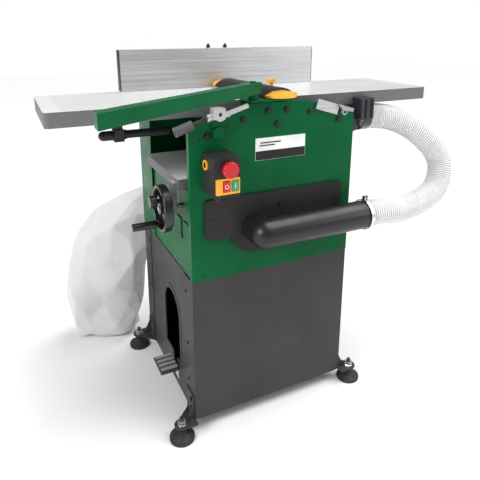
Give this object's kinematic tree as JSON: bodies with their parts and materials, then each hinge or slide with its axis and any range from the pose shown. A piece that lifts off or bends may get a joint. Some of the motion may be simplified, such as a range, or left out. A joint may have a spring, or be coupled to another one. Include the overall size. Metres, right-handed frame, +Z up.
{
  "type": "jointer planer",
  "caption": "Free-standing woodworking jointer and thicknesser: split cast tables, fence, swing guard, chip hood with hose, handwheel and steel stand.",
  "frame": {"origin": "on the floor under the middle of the body: the cutterhead axis crosses above X = 0 and the body is centred on Y = 0", "axes": "+X along the tables towards the chip hood end, +Y away from the operator, +Z up"},
  "size_m": [1.2621, 1.0317, 1.121],
  "materials": {
    "stand_paint": "satin powder coat",
    "rubber": "matte",
    "zinc": "bright zinc",
    "bare_steel": "ribbed, worn",
    "green_paint": "gloss powder coat",
    "black_steel": "blackened steel",
    "cast_grey": "machined cast surface",
    "machined_steel": "turned",
    "motor_paint": "satin",
    "black_plastic": "moulded, satin",
    "cover_plastic": "fine moulded texture",
    "hose_plastic": "translucent with a moulded spiral",
    "bag_film": "thin white translucent film",
    "switch_plastic": "moulded",
    "yellow_plastic": "moulded",
    "label_white": "printed film",
    "alu_plate": "satin",
    "anodised": "extruded and anodised",
    "alu_cast": "die cast",
    "grip_plastic": "moulded",
    "gloss_black": "polished",
    "red_plastic": "moulded",
    "green_button": "moulded"
  },
  "bodies": {
    "frame": {"stand_side_sheets": "stand_paint", "stand_end_panels": "stand_paint", "foot_brackets": "stand_paint", "foot_pads": "rubber", "foot_studs": "zinc", "axle_brackets": "stand_paint", "side_panel_front": "green_paint", "side_panel_rear": "green_paint", "body_end_panels": "green_paint", "deck_plate": "stand_paint", "panel_screws": "black_steel", "bearing_blocks": "cast_grey", "belts": "rubber", "motor": "motor_paint", "fan_housing": "black_plastic", "duct_cover": "cover_plastic", "inlet_duct": "black_plastic", "dust_hose": "hose_plastic", "chip_hood": "black_plastic", "hose_clamps": "zinc", "dust_bag": "bag_film", "hinge_brackets": "cast_grey", "column": "machined_steel", "switch_box": "switch_plastic", "switch_plate": "yellow_plastic", "label_plate": "label_white", "lock_scales": "alu_plate"},
    "transport_wheels": {"transport_wheels": "rubber"},
    "pedal": {"pedal_lever": "stand_paint", "pedal_pad": "bare_steel"},
    "lift_wheel": {"lift_wheel": "rubber"},
    "cutterhead": {"cutterhead": "machined_steel", "cutter_knives": "machined_steel"},
    "motor_rotor": {"motor_shaft": "machined_steel"},
    "fan_rotor": {"impeller": "machined_steel"},
    "left_table": {"left_table": "cast_grey", "fence_base": "cast_grey", "guard_bracket": "green_paint"},
    "right_table": {"right_table": "cast_grey"},
    "lock_bar": {"lock_bar": "black_steel"},
    "fence": {"fence": "anodised", "fence_lugs": "black_steel"},
    "guard_arm": {"guard_arm": "green_paint"},
    "guard_bridge": {"guard_bridge": "black_plastic", "guard_caps": "yellow_plastic"},
    "lock_lever": {"lock_lever": "alu_cast", "lever_grip": "grip_plastic"},
    "right_latch": {"right_latch": "alu_cast"},
    "infeed_roller": {"infeed_roller": "machined_steel"},
    "outfeed_roller": {"outfeed_roller": "machined_steel"},
    "bed": {"thicknesser_bed": "cast_grey", "bed_skirts": "green_paint"},
    "handwheel": {"handwheel": "gloss_black", "rise_shaft": "machined_steel", "wheel_lock_knob": "gloss_black"},
    "crank_grip": {"crank_grip": "gloss_black"},
    "rise_screw": {"rise_screw": "machined_steel"},
    "stop_mushroom": {"stop_mushroom": "red_plastic"},
    "stop_button": {"stop_button": "red_plastic"},
    "start_button": {"start_button": "green_button"}
  },
  "joints": [
    {"name": "table_flip_left", "type": "hinge", "parent": "frame", "child": "left_table", "pos_m": [0, 0.263, 0.963], "axis": [-1, 0, 0], "range_deg": [0, 85]},
    {"name": "table_flip_right", "type": "hinge", "parent": "frame", "child": "right_table", "pos_m": [0, 0.263, 0.963], "axis": [-1, 0, 0], "range_deg": [0, 85]},
    {"name": "lock_bar_turn", "type": "hinge", "parent": "left_table", "child": "lock_bar", "pos_m": [-0.4, -0.1, 0.897], "axis": [1, 0, 0], "range_deg": [0, 90]},
    {"name": "fence_tilt", "type": "hinge", "parent": "left_table", "child": "fence", "pos_m": [0, 0.14, 0.995], "axis": [-1, 0, 0], "range_deg": [0, 45]},
    {"name": "guard_swing", "type": "hinge", "parent": "left_table", "child": "guard_arm", "pos_m": [-0.0765, -0.246, 1.004], "axis": [0, 0, 1], "range_deg": [-55, 40]},
    {"name": "guard_slide", "type": "slide", "parent": "left_table", "child": "guard_bridge", "axis": [0.075, -0.9972, 0], "range_m": [0, 0.25]},
    {"name": "lock_lever_turn", "type": "hinge", "parent": "frame", "child": "lock_lever", "pos_m": [-0.182, -0.262, 0.962], "axis": [0, 1, 0], "range_deg": [-40, 0]},
    {"name": "latch_turn", "type": "hinge", "parent": "frame", "child": "right_latch", "pos_m": [0.212, -0.26, 0.938], "axis": [0, 1, 0], "range_deg": [0, 30]},
    {"name": "cutter_spin", "type": "hinge", "parent": "frame", "child": "cutterhead", "pos_m": [0, 0, 0.9465], "axis": [0, 1, 0], "continuous": true},
    {"name": "motor_spin", "type": "hinge", "parent": "frame", "child": "motor_rotor", "pos_m": [-0.072, 0, 0.33], "axis": [0, 1, 0], "continuous": true},
    {"name": "fan_spin", "type": "hinge", "parent": "frame", "child": "fan_rotor", "pos_m": [-0.072, 0, 0.636], "axis": [0, 1, 0], "continuous": true},
    {"name": "infeed_roller_spin", "type": "hinge", "parent": "frame", "child": "infeed_roller", "pos_m": [0.078, 0, 0.902], "axis": [0, 1, 0], "continuous": true},
    {"name": "outfeed_roller_spin", "type": "hinge", "parent": "frame", "child": "outfeed_roller", "pos_m": [-0.078, 0, 0.902], "axis": [0, 1, 0], "continuous": true},
    {"name": "bed_raise", "type": "slide", "parent": "frame", "child": "bed", "axis": [0, 0, 1], "range_m": [-0.08, 0.014]},
    {"name": "handwheel_turn", "type": "hinge", "parent": "bed", "child": "handwheel", "pos_m": [0, -0.165, 0.697], "axis": [1, 0, 0], "range_deg": [-7200, 1260]},
    {"name": "screw_turn", "type": "hinge", "parent": "bed", "child": "rise_screw", "pos_m": [0, -0.165, 0.697], "axis": [0, 0, 1], "range_deg": [-7200, 1260]},
    {"name": "crank_spin", "type": "hinge", "parent": "handwheel", "child": "crank_grip", "pos_m": [-0.35, -0.143, 0.645], "axis": [1, 0, 0], "continuous": true},
    {"name": "pedal_press", "type": "hinge", "parent": "frame", "child": "pedal", "pos_m": [-0.13, -0.064, 0.112], "axis": [0, -1, 0], "range_deg": [0, 14], "stiffness_Nm_per_rad": 60, "springref_deg": -20.05},
    {"name": "lift_wheel_spin", "type": "hinge", "parent": "pedal", "child": "lift_wheel", "pos_m": [-0.196, -0.064, 0.046], "axis": [0, 1, 0], "continuous": true},
    {"name": "transport_wheel_spin", "type": "hinge", "parent": "frame", "child": "transport_wheels", "pos_m": [0.176, 0, 0.042], "axis": [0, 1, 0], "continuous": true},
    {"name": "mushroom_push", "type": "slide", "parent": "frame", "child": "stop_mushroom", "axis": [0, 1, 0], "range_m": [0, 0.006], "stiffness_N_per_m": 400, "springref_m": -0.003},
    {"name": "stop_push", "type": "slide", "parent": "frame", "child": "stop_button", "axis": [0, 1, 0], "range_m": [0, 0.003], "stiffness_N_per_m": 300, "springref_m": -0.002},
    {"name": "start_push", "type": "slide", "parent": "frame", "child": "start_button", "axis": [0, 1, 0], "range_m": [0, 0.003], "stiffness_N_per_m": 300, "springref_m": -0.002}
  ],
  "couplings": [
    {"joint": "table_flip_right", "follows": "table_flip_left", "ratio": 1},
    {"joint": "motor_spin", "follows": "cutter_spin", "ratio": 0.625},
    {"joint": "fan_spin", "follows": "cutter_spin", "ratio": 0.625},
    {"joint": "infeed_roller_spin", "follows": "cutter_spin", "ratio": 0.04},
    {"joint": "outfeed_roller_spin", "follows": "cutter_spin", "ratio": 0.04},
    {"joint": "handwheel_turn", "follows": "bed_raise", "rad_per_m": 1570.8},
    {"joint": "screw_turn", "follows": "bed_raise", "rad_per_m": 1570.8}
  ]
}
